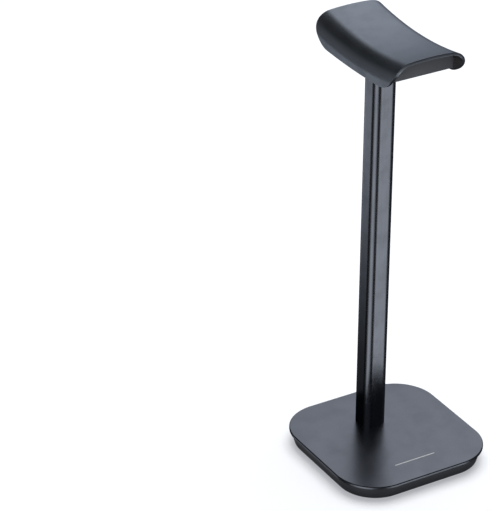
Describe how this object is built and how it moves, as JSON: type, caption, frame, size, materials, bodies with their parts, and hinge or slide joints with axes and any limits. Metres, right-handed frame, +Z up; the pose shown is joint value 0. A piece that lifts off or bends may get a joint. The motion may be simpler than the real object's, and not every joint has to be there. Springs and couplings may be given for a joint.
{
  "type": "headphone stand",
  "caption": "Free-standing headphone stand: a weighted square base with rounded corners, an off-centre square pole and an arched saddle for the headband.",
  "frame": {"origin": "centre of the base's outline at the underside of the anti-slip mat, on the table", "axes": "+Z up along the pole, +X to the right as seen from the front, -Y the front edge of the base, so the pole stands on the +Y side"},
  "size_m": [0.1, 0.102, 0.2749],
  "materials": {
    "anodised_plate": "fine bead-blasted, dark grey anodised",
    "adhesive_film": "thin bonding film",
    "housing_plastic": "fine textured moulding",
    "zinc_plated_steel": "zinc plated",
    "screw_steel": "dark nickel plated",
    "mat_silicone": "matte, fine grain",
    "anodised_pole": "satin, dark grey anodised, faint lengthwise extrusion lines",
    "core_plastic": "fine textured moulding",
    "skin_plastic": "satin paint over a fine texture"
  },
  "bodies": {
    "root": {"base_top_plate": "anodised_plate", "plate_adhesive": "adhesive_film", "base_housing": "housing_plastic", "weight_plate": "zinc_plated_steel", "bottom_cover": "housing_plastic", "cover_screws": "screw_steel", "antislip_mat": "mat_silicone", "pole": "anodised_pole", "pole_base_screws": "screw_steel", "saddle_core": "core_plastic", "saddle_screws": "screw_steel", "saddle_washers": "zinc_plated_steel", "saddle_skin": "skin_plastic"}
  },
  "joints": []
}
